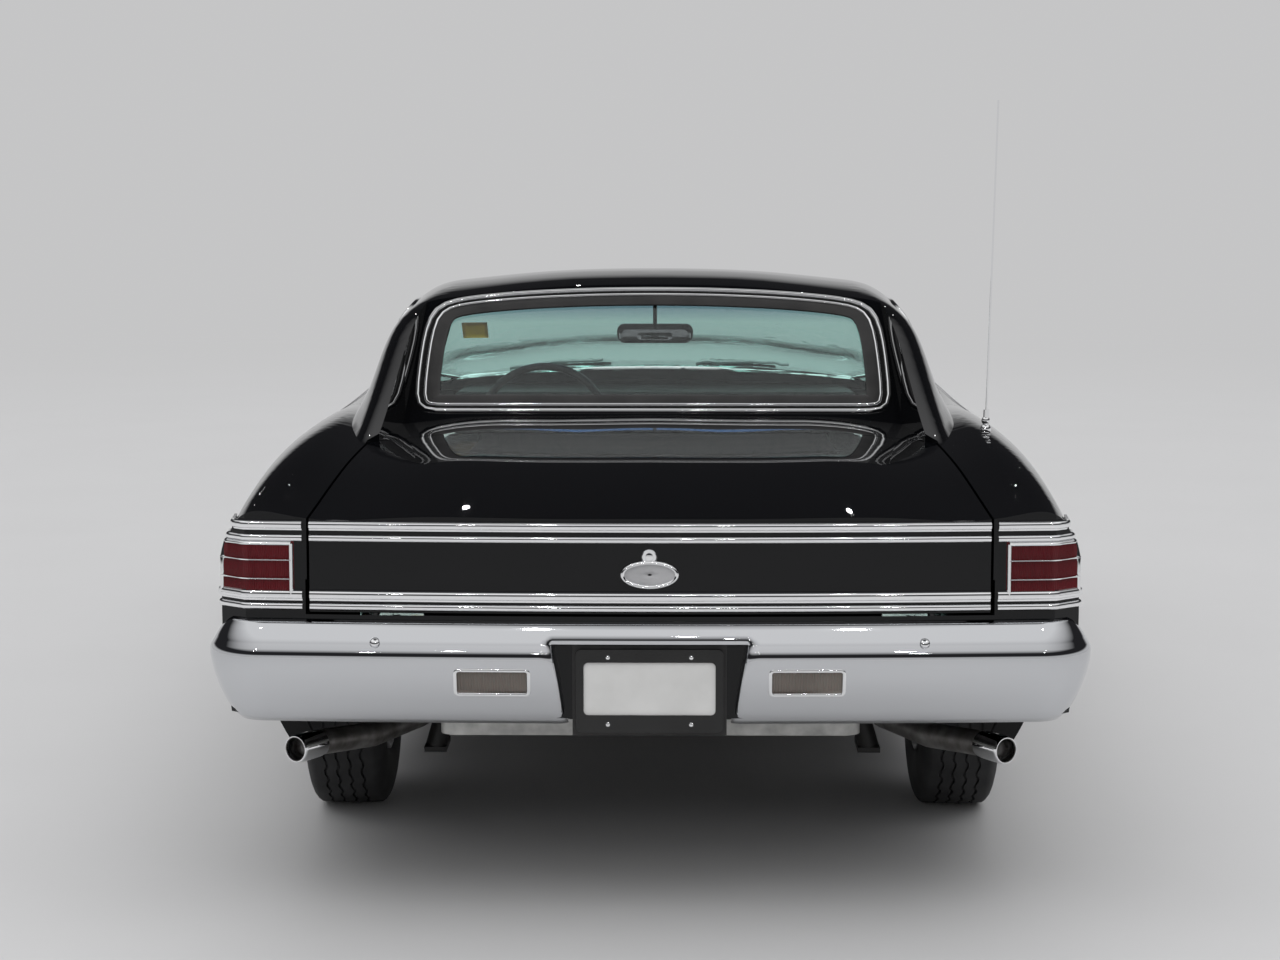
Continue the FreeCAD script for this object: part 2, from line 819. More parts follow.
def reversing_pocket(gap):
    return box(reversing_lamp_inner + gap, reversing_lamp_outer - gap, -half_length - overrun,
               -half_length + wall_inset, reversing_lamp_bottom + gap, reversing_lamp_top - gap)


def rear_bumper():
    bar = bumper_bar(-half_length, bumper_section_points, 1)
    recess = front_prism([
        (-plate_recess_base_half, rear_panel_height - overrun),
        (plate_recess_base_half, rear_panel_height - overrun),
        (plate_recess_top_half, plate_recess_top),
        (-plate_recess_top_half, plate_recess_top),
    ], -half_length - overrun, -half_length + wall_inset * 2)
    pocket = reversing_pocket(0)
    return bar.cut(outer_form).cut(recess).cut(pocket).cut(mirrored(pocket))


front_bumper_section_points = [
    (74.0, 540.0),
    (14.0, 522.0),
    (0.0, 500.0),
    (0.0, 470.0),
    (24.0, 420.0),
    (66.0, 382.0),
    (80.0, 382.0),
    (38.0, 426.0),
    (14.0, 474.0),
    (14.0, 498.0),
    (26.0, 512.0),
    (80.0, 528.0),
]
parking_lamp_inner = 560.0
parking_lamp_outer = 740.0
parking_lamp_bottom = 452.0
parking_lamp_top = 502.0


def parking_pocket(gap):
    return box(parking_lamp_inner + gap, parking_lamp_outer - gap, half_length - wall_inset,
               half_length + overrun, parking_lamp_bottom + gap, parking_lamp_top - gap)


def front_bumper():
    bar = bumper_bar(half_length, front_bumper_section_points, -1)
    pocket = parking_pocket(0)
    bar = bar.cut(pocket).cut(mirrored(pocket))
    stay = box(rail_front_half - rail_width / 2, rail_front_half + rail_width / 2,
               nose_y - nose_panel_depth, half_length - lamp_body_depth / 2,
               rear_panel_height + sheet, rear_panel_height + sheet * 3)
    return bar.fuse([stay, mirrored(stay)]).cut(outer_form)


# Small lamps set in the bumpers
lamp_body_depth = 34.0
bumper_lamp_sink = 14.0


def reversing_lamps():
    rear_y = -half_length + bumper_lamp_sink * 2
    body = box(0, half_width, rear_y, rear_y + lamp_body_depth, 0, roof_height)
    lamp = reversing_pocket(seat_gap).common(body).cut(outer_form)
    return both_sides(lamp)


def parking_lamps():
    front_y = half_length - bumper_lamp_sink
    body = box(0, half_width, front_y - lamp_body_depth, front_y - seat_gap, 0, roof_height)
    lamp = parking_pocket(seat_gap).common(body).cut(outer_form)
    return both_sides(lamp)


# Licence plate, blank, with its bracket
plate_width = 305.0
plate_height = 152.0
plate_thickness = 3.0
plate_centre_height = 508.0
plate_sink = 44.0
plate_corner = 12.0
bracket_width = 330.0
bracket_height = 196.0
bracket_thickness = 8.0
plate_bolt_spacing = 178.0
plate_bolt_radius = 3.5
plate_bolt_drop = 16.0


def licence_plate():
    rear = -half_length + plate_sink
    plate = box(-plate_width / 2, plate_width / 2, rear, rear + plate_thickness,
                plate_centre_height - plate_height / 2, plate_centre_height + plate_height / 2)
    upright = [edge for edge in plate.Edges if edge.Length < plate_thickness * 1.01]
    plate = plate.makeFillet(plate_corner, upright)
    bracket = box(-bracket_width / 2, bracket_width / 2, rear + plate_thickness,
                  rear + plate_thickness + bracket_thickness,
                  plate_centre_height - bracket_height / 2, plate_centre_height + bracket_height / 2)
    shape = plate.fuse(bracket)
    for x in (-plate_bolt_spacing / 2, plate_bolt_spacing / 2):
        hole = Part.makeCylinder(plate_bolt_radius, overrun, Vector(
            x, rear - overrun / 4, plate_centre_height + plate_height / 2 - plate_bolt_drop), along)
        shape = shape.cut(hole)
    return shape.cut(outer_form)


# Grille and headlamps
headlamp_radius = 73.0
headlamp_outer_x = 700.0
headlamp_spacing = 162.0
headlamp_height = 684.0
headlamp_setback = 90.0
headlamp_y = nose_y - headlamp_setback
headlamp_length = 92.0
headlamp_bezel = 9.0
lens_rise = 14.0
grille_bar_count = 7
grille_bar_height = 7.0
grille_bar_depth = 26.0
grille_bar_setback = 124.0
grille_bar_y = nose_y - grille_bar_setback
grille_post_count = 4
grille_post_width = 8.0
grille_back_thickness = 10.0


def headlamps():
    lamps = []
    for index in range(2):
        x = headlamp_outer_x - index * headlamp_spacing
        rear = headlamp_y - headlamp_length
        barrel = Part.makeCylinder(headlamp_radius, headlamp_length, Vector(x, rear, headlamp_height), along)
        sphere_radius = (headlamp_radius ** 2 + lens_rise ** 2) / (2 * lens_rise)
        centre = Vector(x, headlamp_y + lens_rise - sphere_radius, headlamp_height)
        lens = Part.makeSphere(sphere_radius, centre)
        lens = lens.common(Part.makeCylinder(headlamp_radius - headlamp_bezel, headlamp_length * 2,
                                             Vector(x, rear, headlamp_height), along))
        lamps.append(barrel.fuse(lens.common(box(0, half_width, headlamp_y, half_length, 0, roof_height))))
    return Part.makeCompound(lamps + [mirrored(lamp) for lamp in lamps])


def grille():
    # Thin level bars on upright posts between two lamp plates, with a dark back plate
    half = grille_half - seat_gap
    plate_inner = headlamp_outer_x - headlamp_spacing - headlamp_radius - headlamp_bezel
    back_y = grille_bar_y - grille_bar_depth
    pitch = (grille_top - grille_bottom) / (grille_bar_count + 1)
    bottom = grille_bottom + seat_gap
    top = grille_top - seat_gap
    pieces = [box(-half, half, back_y - grille_back_thickness, back_y, bottom, top)]
    for index in range(grille_bar_count):
        z = grille_bottom + pitch * (index + 1)
        pieces.append(box(-plate_inner, plate_inner, grille_bar_y, grille_bar_y + grille_bar_depth,
                          z - grille_bar_height / 2, z + grille_bar_height / 2))
    post_pitch = 2 * plate_inner / (grille_post_count + 1)
    for index in range(grille_post_count):
        x = post_pitch * (index + 1) - plate_inner
        pieces.append(box(x - grille_post_width / 2, x + grille_post_width / 2, back_y,
                          grille_bar_y + grille_bar_depth / 2, bottom, top))
    for side in (-1, 1):
        inner, outer = sorted((side * plate_inner, side * half))
        pieces.append(box(inner, outer, back_y, grille_bar_y + grille_back_thickness,
                          grille_bottom + seat_gap, grille_top - seat_gap))
    shape = pieces[0].fuse(pieces[1:])
    for side in (-1, 1):
        for index in range(2):
            x = side * (headlamp_outer_x - index * headlamp_spacing)
            shape = shape.cut(Part.makeCylinder(headlamp_radius + seat_gap, half_length,
                                                Vector(x, 0, headlamp_height), along))
    return shape


# Perimeter frame
rail_height = 96.0
rail_width = 66.0
rail_mid_base = 180.0
rail_rear_y = tail_y + wall_inset
rail_front_y = nose_y - nose_panel_depth - seat_gap
rail_rear_half = 520.0
rail_axle_half = 560.0
rail_mid_half = 742.0
rail_front_half = 425.0
kick_rear_height = 470.0
kick_front_height = 380.0
rail_front_base = 300.0
rail_rear_base = 430.0
cross_member_width = 90.0


def frame_rail():
    # One side rail: its plan outline meets its side outline
    plan_line = [
        (rail_rear_half, rail_rear_y),
        (rail_axle_half, rear_axle_y - wall_inset * 5),
        (rail_axle_half, rear_axle_y + wall_inset * 5),
        (rail_mid_half, rear_axle_y + wall_inset * 9),
        (rail_mid_half, door_front_y - wall_inset),
        (rail_front_half, front_axle_y - wall_inset * 7),
        (rail_front_half, rail_front_y),
    ]
    plan = [(x + rail_width / 2, y) for x, y in plan_line]
    plan += [(x - rail_width / 2, y) for x, y in reversed(plan_line)]
    side_line = [
        (rear_axle_y - wall_inset * 5, boot_well_height - sheet - rail_height),
        (rear_axle_y - wall_inset * 2, kick_rear_height),
        (rear_axle_y + wall_inset * 2, kick_rear_height),
        (rear_axle_y + wall_inset * 8, rail_mid_base),
        (door_front_y, rail_mid_base),
        (front_axle_y - wall_inset * 5, kick_front_height),
        (front_axle_y + wall_inset * 5, kick_front_height),
        (rail_front_y, rail_front_base),
    ]
    side = side_line + [(y, z + rail_height) for y, z in reversed(side_line)]
    side += [(rail_rear_y, rail_rear_top), (rail_rear_y, rail_rear_base)]
    return plan_prism(plan, 0, roof_height).common(side_prism(side, 0, half_width))


def frame():
    right = frame_rail()
    members = [right, mirrored(right)]
    half = rail_rear_half
    members.append(box(-half, half, rail_rear_y, rail_rear_y + cross_member_width / 2,
                       rail_rear_base, rail_rear_top))
    half = rail_axle_half
    rear = rear_axle_y - rail_width / 2 + wall_inset * 2
    members.append(box(-half, half, rear, rear_axle_y + wall_inset * 2,
                       kick_rear_height + rail_height / 2, kick_rear_height + rail_height))
    half = rail_mid_half
    members.append(box(-half, half, 0, cross_member_width, rail_mid_base, rail_mid_base + rail_height / 4))
    half = rail_front_half
    rear = front_axle_y - steer_arm_length + overrun
    front = front_axle_y + cross_member_width
    base = rail_front_base - rail_height
    members.append(box(-half, half, rear, front, base, engine_base - seat_gap))
    top = kick_front_height + rail_height * 3 / 2
    tower = box(half - rail_width / 2, half + rail_width / 2, rear, front, base, top)
    members.append(tower)
    members.append(mirrored(tower))
    return members[0].fuse(members[1:])


# Floor, firewall, parcel shelf and boot floor as one pressed sheet
sheet = 14.0
floor_height = 290.0
tunnel_half = 150.0
tunnel_height = 200.0
heel_y = -640.0
seat_pan_height = 420.0
bulkhead_y = -1075.0
shelf_height = 872.0
boot_floor_height = 580.0
boot_well_height = 475.0
rail_rear_top = boot_well_height - sheet - seat_gap
boot_well_setback = 330.0
boot_well_y = rear_axle_y - boot_well_setback
toe_y = 560.0
firewall_y = 700.0
toe_height = 470.0
firewall_top = 980.0
floor_half = door_inner_x - shut_line
boot_half = 600.0
housing_inner_x = 622.0
bay_height_share = 0.62
housing_gauge = 10.0
housing_base = 440.0


def wheel_housing():
    # A rear wheel tub inside the quarter panel
    outer = cross_cylinder(rear_opening_run + housing_gauge, housing_inner_x, half_width, rear_axle_y,
                           rear_opening_height)
    inner = cross_cylinder(rear_opening_run, housing_inner_x + housing_gauge, half_width, rear_axle_y,
                           rear_opening_height)
    tub = outer.cut(inner).common(box(0, half_width, -half_length, 0, housing_base, roof_height))
    return tub.common(wall_form)


def floor_pan():
    line = [
        (firewall_y, firewall_top),
        (firewall_y, toe_height),
        (toe_y, floor_height),
        (heel_y, floor_height),
        (heel_y - sheet, seat_pan_height),
        (bulkhead_y, seat_pan_height),
    ]
    underside = [
        (bulkhead_y, seat_pan_height - sheet),
        (heel_y - sheet * 2, seat_pan_height - sheet),
        (heel_y - sheet, floor_height - sheet),
        (toe_y, floor_height - sheet),
        (firewall_y + sheet, toe_height - sheet),
        (firewall_y + sheet, firewall_top),
    ]
    cabin = side_prism(line + underside, -floor_half, floor_half)
    hump = box(-tunnel_half, tunnel_half, heel_y, firewall_y + sheet, floor_height - sheet,
               floor_height + tunnel_height)
    hump_inner = box(-tunnel_half + sheet, tunnel_half - sheet, heel_y, firewall_y + overrun, 0,
                     floor_height + tunnel_height - sheet)
    bulkhead = box(-boot_half, boot_half, bulkhead_y - sheet, bulkhead_y,
                   seat_pan_height - sheet, roof_height)
    shelf = box(-boot_half, boot_half, bulkhead_y - sheet, bulkhead_y + wall_inset * 3,
                shelf_height - sheet, shelf_height)
    boot = side_prism([
        (bulkhead_y, boot_floor_height),
        (boot_well_y, boot_floor_height),
        (boot_well_y - wall_inset, boot_well_height),
        (tail_y + wall_inset + tail_bow, boot_well_height),
        (tail_y + wall_inset + tail_bow, boot_well_height - sheet),
        (boot_well_y - wall_inset + sheet, boot_well_height - sheet),
        (boot_well_y + sheet, boot_floor_height - sheet),
        (bulkhead_y, boot_floor_height - sheet),
    ], -boot_half - rail_width, boot_half + rail_width)
    wheel_space = both_sides(cross_cylinder(rear_opening_run, housing_inner_x, half_width, rear_axle_y,
                                            rear_opening_height))
    heel_opening = box(-tunnel_half + sheet, tunnel_half - sheet, heel_y - sheet * 3, heel_y, 0,
                       seat_pan_height - sheet)
    shape = cabin.fuse([hump, bulkhead, shelf]).cut([hump_inner, heel_opening])
    shape = shape.fuse(boot).cut(wheel_space)
    shape = shape.common(skin_form)
    housing = wheel_housing()
    shape = shape.fuse([housing, mirrored(housing)])
    return shape.cut([frame_body, quarter, mirrored(quarter), front_wing, mirrored(front_wing)])


def inner_fenders():
    # Engine bay sides between the firewall and the radiator support, arched over the wheels
    front_y = nose_y - nose_panel_depth * 2
    wall = box(opening_inner_x - sheet * 2, opening_inner_x - sheet, firewall_y + sheet, front_y,
               rail_front_base + rail_height * 5 / 2, roof_height * bay_height_share)
    ledge = box(opening_inner_x - sheet * 2, half_width, firewall_y + sheet, front_y,
                front_opening_height + front_opening_rise + housing_gauge,
                front_opening_height + front_opening_rise + housing_gauge * 2)
    return both_sides(wall.fuse(ledge).common(wall_form))


radiator_half = 340.0
radiator_thickness = 60.0
radiator_top = 790.0
support_width_share = 1.6


def radiator_support():
    y = nose_y - nose_panel_depth * 2
    half = opening_inner_x * support_width_share
    base = rail_front_base + rail_height * 2
    panel = box(-half, half, y + seat_gap, y + sheet, base, roof_height * bay_height_share)
    core = box(-radiator_half, radiator_half, y - radiator_thickness, y + sheet, base, radiator_top)
    return panel.fuse(core).common(wall_form)


# Engine and driveline
engine_half = 290.0
engine_rear_y = 905.0
engine_front_y = 1660.0
engine_base = 300.0
engine_top = 800.0
gearbox_length = 560.0
gearbox_radius = 106.0
shaft_radius = 38.0
yoke_radius = 48.0
diff_radius = 128.0
diff_depth = 88.0


def engine_block():
    block = box(-engine_half, engine_half, engine_rear_y, engine_front_y, engine_base, engine_top)
    long_edges = [edge for edge in block.Edges if edge.Length > engine_front_y - engine_rear_y - seat_gap]
    return block.makeChamfer(wall_inset, long_edges)


def driveline():
    # Gearbox, propeller shaft and its two joints
    axle_height = tyre_radius
    gearbox = Part.makeCone(gearbox_radius, shaft_radius * 1.6, gearbox_length,
                            Vector(0, engine_rear_y - seat_gap, axle_height + overrun), Vector(0, -1, 0))
    start = Vector(0, engine_rear_y - gearbox_length, axle_height + overrun)
    end = Vector(0, rear_axle_y + diff_radius * 1.35, axle_height)
    shaft = rod(start, end, shaft_radius)
    reach = (end - start).normalize() * shaft_radius
    yokes = [rod(start - reach, start + reach, yoke_radius), rod(end - reach, end + reach, yoke_radius)]
    shape = gearbox.fuse([shaft] + yokes)
    return shape.cut(box(-half_width, half_width, -half_length, end.y, 0, roof_height))


# Rear axle
axle_tube_radius = 40.0
drum_gap = 5.0
backing_radius = 138.0
backing_thickness = 8.0
shaft_end_radius = 22.0
spring_seat_x = 450.0


def backing_plate_x(track):
    # Middle of the brake backing plate, just clear of the drum's open edge
    return track / 2 - hub_face_inset - disc_gauge - drum_depth - drum_gap - backing_thickness / 2


def rear_axle():
    centre = Vector(0, rear_axle_y, tyre_radius)
    axle_flange_x = backing_plate_x(rear_track)
    tube = cross_cylinder(axle_tube_radius, -axle_flange_x, axle_flange_x, rear_axle_y, tyre_radius)
    bowl = Part.makeCylinder(diff_radius, diff_depth * 2, centre - Vector(0, diff_depth, 0), along)
    rims = [edge for edge in bowl.Edges if len(edge.Vertexes) == 1]
    bowl = bowl.makeChamfer(diff_depth * 0.4, rims)
    nose = Part.makeCone(diff_radius * 0.7, shaft_radius * 1.3, diff_radius * 1.35, centre, along)
    plates = [cross_cylinder(backing_radius, side * axle_flange_x - backing_thickness / 2,
                             side * axle_flange_x + backing_thickness / 2, rear_axle_y, tyre_radius)
              for side in (-1, 1)]
    reach = rear_track / 2 - hub_face_inset
    stub = cross_cylinder(shaft_end_radius, -reach, reach, rear_axle_y, tyre_radius)
    half = spring_radius + spring_wire
    perches = [box(side * spring_seat_x - half, side * spring_seat_x + half,
                   rear_axle_y - axle_tube_radius, rear_axle_y + axle_tube_radius,
                   tyre_radius, tyre_radius + axle_tube_radius + sheet)
               for side in (-1, 1)]
    for side in (-1, 1):
        foot_x = side * damper_foot_x
        foot_y = rear_axle_y - damper_set_back
        perches.append(box(foot_x - sheet, foot_x + sheet,
                           rear_axle_y - axle_tube_radius - sheet, rear_axle_y,
                           damper_foot_height - damper_radius, tyre_radius))
        perches.append(box(foot_x - sheet * 2, foot_x + sheet * 2, foot_y - damper_radius, rear_axle_y,
                           damper_foot_height - damper_radius, damper_foot_height - damper_radius / 2))
    return tube.fuse([bowl, nose, stub] + plates + perches)


# Wheels
rim_radius = 182.0
rim_half_width = 92.0
rim_gauge = 8.0
hub_face_inset = 26.0
hub_radius = 62.0
hub_bore_gap = 0.5
disc_gauge = 9.0
slot_count = 5
slot_inner_radius = 84.0
slot_outer_radius = 128.0
slot_half_angle = 19.0
drum_radius = 126.0
drum_depth = 58.0
drum_gauge = 9.0
cap_radius = 46.0
cap_depth = 34.0
tyre_tread_half = 72.0
tyre_facets = 88
tyre_shoulder_drop = 16.0
tyre_bulge_radius = 272.0


def revolved_x(points, flip):
    # A closed (offset from the wheel's middle plane, radius) outline turned round the axle
    corners = [Vector(flip * x, 0, r) for x, r in points]
    return Part.Face(Part.makePolygon(corners + corners[:1])).revolve(origin, across, 360)


def wheel_shape():
    # Stamped wheel facing +X, with brake drum and centre cap, turned about its own middle
    profile = [
        (-rim_half_width, rim_radius + rim_gauge),
        (-rim_half_width, rim_radius + rim_gauge * 2),
        (-rim_half_width + rim_gauge, rim_radius + rim_gauge * 2),
        (-rim_half_width + rim_gauge * 2, rim_radius),
        (-rim_gauge * 2, rim_radius - rim_gauge * 2),
        (rim_gauge * 2, rim_radius - rim_gauge * 2),
        (rim_half_width - rim_gauge * 2, rim_radius),
        (rim_half_width - rim_gauge, rim_radius + rim_gauge * 2),
        (rim_half_width, rim_radius + rim_gauge * 2),
        (rim_half_width, rim_radius + rim_gauge),
        (rim_half_width - rim_gauge * 2, rim_radius - rim_gauge),
        (rim_gauge * 2, rim_radius - rim_gauge * 3),
        (-rim_gauge * 2, rim_radius - rim_gauge * 3),
        (-rim_half_width + rim_gauge * 2, rim_radius - rim_gauge),
    ]
    barrel = revolved_x(profile, 1)
    disc_line = [
        (-hub_face_inset, 0.0),
        (-hub_face_inset, hub_radius),
        (-hub_face_inset + sheet, slot_inner_radius - rim_gauge),
        (sheet, slot_inner_radius),
        (sheet * 1.4, slot_outer_radius),
        (-rim_gauge, rim_radius - rim_gauge * 2.5),
    ]
    disc_back = [(x - disc_gauge, r) for x, r in reversed(disc_line)]
    disc = revolved_x(disc_line + disc_back, 1)
    slots = []
    for index in range(slot_count):
        start = Vector(-rim_half_width, 0, 0)
        ring = Part.makeCylinder(slot_outer_radius, rim_half_width * 2, start, across, slot_half_angle * 2)
        ring = ring.cut(Part.makeCylinder(slot_inner_radius, rim_half_width * 2, start, across))
        ring.rotate(origin, across, 360 * index / slot_count)
        slots.append(ring)
    disc = disc.cut(Part.makeCompound(slots))
    cap = Part.makeCone(cap_radius, cap_radius * 0.8, cap_depth, Vector(-hub_face_inset, 0, 0), across)
    drum_face = -hub_face_inset - disc_gauge
    drum = Part.makeCylinder(drum_radius, drum_depth, Vector(drum_face - drum_depth, 0, 0), across)
    hollow = Part.makeCylinder(drum_radius - drum_gauge, drum_depth,
                               Vector(drum_face - drum_depth - drum_gauge, 0, 0), across)
    drum = drum.cut(hollow)
    shape = barrel.fuse([disc, cap, drum])
    bore = Part.makeCylinder(shaft_end_radius + hub_bore_gap, drum_depth + cap_depth / 2,
                             Vector(drum_face - drum_depth, 0, 0), across)
    return shape.cut(bore)


def tyre_shape():
    # Tyre section, closed inside against the rim, turned as a ring of narrow facets
    half = tyre_width / 2
    bead = rim_radius + rim_gauge * 2 + seat_gap
    right = [
        (rim_half_width - rim_gauge - seat_gap, bead),
        (half, tyre_bulge_radius),
        (tyre_tread_half + tyre_shoulder_drop, tyre_radius - tyre_shoulder_drop),
        (tyre_tread_half, tyre_radius),
    ]
    section = right + [(-x, r) for x, r in reversed(right)]
    turns = [math.tau * index / tyre_facets for index in range(tyre_facets + 1)]
    rings = [[Vector(x, r * math.sin(turn), r * math.cos(turn)) for turn in turns] for x, r in section]
    faces = []
    for ring, following in zip(rings, rings[1:] + rings[:1]):
        for index in range(tyre_facets):
            corners = [ring[index], ring[index + 1], following[index + 1], following[index]]
            faces.append(Part.Face(Part.makePolygon(corners + corners[:1])))
    return closed_solid(faces)


def placed_wheel(shape, side, track, axle_y):
    turned = shape if side > 0 else mirrored(shape)
    return turned.translated(Vector(side * track / 2, axle_y, tyre_radius))


# Rear suspension: coil springs, trailing arms and dampers
spring_radius = 56.0
spring_wire = 8.0
spring_turns = 5
spring_steps = 14
wire_sides = 6
arm_radius = 22.0
damper_radius = 26.0
damper_foot_x = 545.0
damper_foot_height = 178.0
damper_set_back = 112.0
damper_lean = 120.0


def coil_spring(x, y, low, high, radius):
    # A six-sided wire wound through evenly turned sections between two seats
    climb = high - low - spring_wire * 2
    steps = spring_turns * spring_steps
    sections = []
    for step in range(steps + 1):
        turn = math.tau * step / spring_steps
        outward = Vector(math.cos(turn), math.sin(turn), 0)
        centre = Vector(x, y, low + spring_wire + climb * step / steps) + outward * radius
        corners = []
        for index in range(wire_sides):
            angle = math.tau * (index + 0.5) / wire_sides
            across_wire = outward * spring_wire * math.cos(angle)
            corners.append(centre + across_wire + upward * spring_wire * math.sin(angle))
        sections.append(Part.makePolygon(corners + corners[:1]))
    return Part.makeLoft(sections, True, True)


def rear_suspension_side():
    seat_low = tyre_radius + axle_tube_radius + sheet + seat_gap
    top = boot_floor_height - sheet - seat_gap
    spring = coil_spring(spring_seat_x, rear_axle_y, seat_low, top, spring_radius)
    arm_x = rail_axle_half - rail_width / 2 - arm_radius - seat_gap
    lower_arm = rod(Vector(arm_x, rear_axle_y + axle_tube_radius + seat_gap, tyre_radius),
                    Vector(arm_x, rear_axle_y + wall_inset * 6, tyre_radius), arm_radius)
    foot = Vector(damper_foot_x, rear_axle_y - damper_set_back, damper_foot_height - damper_radius / 2)
    head = Vector(damper_foot_x - damper_lean, rear_axle_y - damper_set_back, boot_floor_height)
    damper = rod(foot, head, damper_radius)
    damper = damper.common(box(0, half_width, -half_length, 0, foot.z + seat_gap, top))
    return [spring, lower_arm, damper]


# Front suspension and steering
kingpin_x = 622.0
ball_low_height = 222.0
ball_high_height = 462.0
arm_bar_radius = 14.0
arm_spread = 120.0
arm_pivot_radius = 17.0
socket_radius = 19.0
socket_half_height = 17.0
upright_radius = 20.0
spindle_radius = 22.0
steer_arm_length = 100.0
steer_arm_height = 300.0
steer_arm_inset = 26.0
steer_eye_radius = 17.0
link_radius = 9.0
link_gap = 0.3
ball_gap = 0.6
front_spring_radius = 50.0


def control_arm(height):
    # A wishbone from the frame's tower to just short of its ball joint
    pivot_x = rail_front_half + rail_width / 2 + arm_pivot_radius + seat_gap
    tip = Vector(kingpin_x - upright_radius - socket_radius - ball_gap, front_axle_y, height)
    bars = [rod(Vector(pivot_x, front_axle_y + side * arm_spread, height), tip, arm_bar_radius)
            for side in (-1, 1)]
    pivot = rod(Vector(pivot_x, front_axle_y - arm_spread * 1.1, height),
                Vector(pivot_x, front_axle_y + arm_spread * 1.1, height), arm_pivot_radius)
    socket = Part.makeCylinder(socket_radius, socket_half_height * 2, tip - upward * socket_half_height)
    return bars[0].fuse([bars[1], pivot, socket])


def front_suspension():
    low = ball_low_height + socket_half_height + seat_gap
    high = ball_high_height - socket_half_height - seat_gap
    spring_x = blend(rail_front_half + rail_width / 2, kingpin_x, 0.45)
    spring = coil_spring(spring_x, front_axle_y, low, high, front_spring_radius)
    right = [control_arm(ball_low_height), control_arm(ball_high_height), spring]
    return Part.makeCompound(right + [mirrored(piece) for piece in right])


def knuckle():
    # Upright, spindle, backing plate and steering arm on the right side
    foot = Vector(kingpin_x, front_axle_y, ball_low_height - arm_bar_radius)
    head = Vector(kingpin_x, front_axle_y, ball_high_height + arm_bar_radius)
    upright = rod(foot, head, upright_radius)
    reach = front_track / 2 - hub_face_inset
    plate_x = backing_plate_x(front_track)
    spindle = cross_cylinder(spindle_radius, kingpin_x, reach, front_axle_y, tyre_radius)
    plate = cross_cylinder(backing_radius * 0.85, plate_x - backing_thickness / 2,
                           plate_x + backing_thickness / 2, front_axle_y, tyre_radius)
    eye = Vector(kingpin_x - steer_arm_inset, front_axle_y - steer_arm_length, steer_arm_height)
    arm = rod(Vector(kingpin_x, front_axle_y, steer_arm_height), eye, link_radius)
    boss = Part.makeCylinder(steer_eye_radius, link_radius * 2, eye - Vector(0, 0, link_radius))
    return upright.fuse([spindle, plate, arm, boss])


def steering_linkage():
    # Centre link and tie rods in one bar, which slides across the car under the steering arms
    half = kingpin_x - steer_arm_inset
    y = front_axle_y - steer_arm_length
    height = steer_arm_height - link_radius * 2 - link_gap
    bar = rod(Vector(-half, y, height), Vector(half, y, height), link_radius)
    eyes = [Part.makeCylinder(steer_eye_radius, link_radius * 2, Vector(side * half, y, height - link_radius))
            for side in (-1, 1)]
    return bar.fuse(eyes)


# Exhaust, one pipe each side
pipe_radius = 29.0
tip_radius = 29.0
tip_gauge = 2.5
muffler_radius = 80.0
muffler_x = 360.0
muffler_front_y = -670.0
muffler_length = 380.0
muffler_height = 306.0
pipe_height = 243.0
over_axle_x = 330.0
manifold_run = 280.0
manifold_height = 520.0
downpipe_run = 100.0
downpipe_height = 330.0
under_floor_run = 140.0
pipe_offset = 40.0
over_axle_places = [
    (over_axle_x, 110.0, 432.0),
    (over_axle_x, 0.0, 466.0),
    (over_axle_x, -140.0, 440.0),
    (430.0, -280.0, 360.0),
    (560.0, -430.0, 304.0),
]
tip_lead_run = 230.0
tip_lead_height = 302.0
tip_spread = 52.0
tip_length = 84.0
exhaust_tip_x = 800.0
exhaust_tip_height = 314.0
exhaust_tip_setback = 350.0
exhaust_tip_y = exhaust_tip_setback - half_length


def exhaust_side():
    # From the manifold under the floor, through the muffler, over the axle and out behind the tyre
    start_x = engine_half + pipe_radius + seat_gap
    front = [
        Vector(start_x, engine_rear_y + manifold_run, manifold_height),
        Vector(start_x, engine_rear_y + downpipe_run, downpipe_height),
        Vector(muffler_x - pipe_offset, engine_rear_y - under_floor_run, pipe_height),
        Vector(muffler_x - pipe_offset, muffler_front_y + muffler_radius * 2, pipe_height),
        Vector(muffler_x - pipe_offset / 2, muffler_front_y - overrun, pipe_height),
    ]
    back = [Vector(muffler_x, muffler_front_y - muffler_length, muffler_height)]
    back += [Vector(x, rear_axle_y + run, height) for x, run, height in over_axle_places]
    back += [
        Vector(blend(over_axle_x, exhaust_tip_x, 0.68), exhaust_tip_y + tip_lead_run, tip_lead_height),
        Vector(exhaust_tip_x - tip_spread, exhaust_tip_y + tip_length, exhaust_tip_height),
    ]
    muffler = Part.makeCylinder(muffler_radius, muffler_length,
                                Vector(muffler_x, muffler_front_y, muffler_height), Vector(0, -1, 0))
    tip_end = Vector(exhaust_tip_x, exhaust_tip_y, exhaust_tip_height)
    tip = rod(back[-1], tip_end, pipe_radius)
    bore = rod(blend(back[-1], tip_end, 0.2), tip_end + (tip_end - back[-1]), tip_radius - tip_gauge)
    pipe = tube_path(front, pipe_radius).fuse([muffler, tube_path(back, pipe_radius), tip])
    return pipe.cut(bore)


# Fuel tank under the boot floor
tank_half = 466.0
tank_setback = 250.0
tank_rear_y = tank_setback - half_length
tank_length = 520.0
tank_base = 368.0
tank_corner = 40.0


def fuel_tank():
    tank = box(-tank_half, tank_half, tank_rear_y, tank_rear_y + tank_length, tank_base,
               boot_well_height - sheet - seat_gap)
    depth = boot_well_height - sheet - seat_gap - tank_base
    upright = [edge for edge in tank.Edges if abs(edge.Length - depth) < seat_gap]
    return tank.makeFillet(tank_corner, upright)


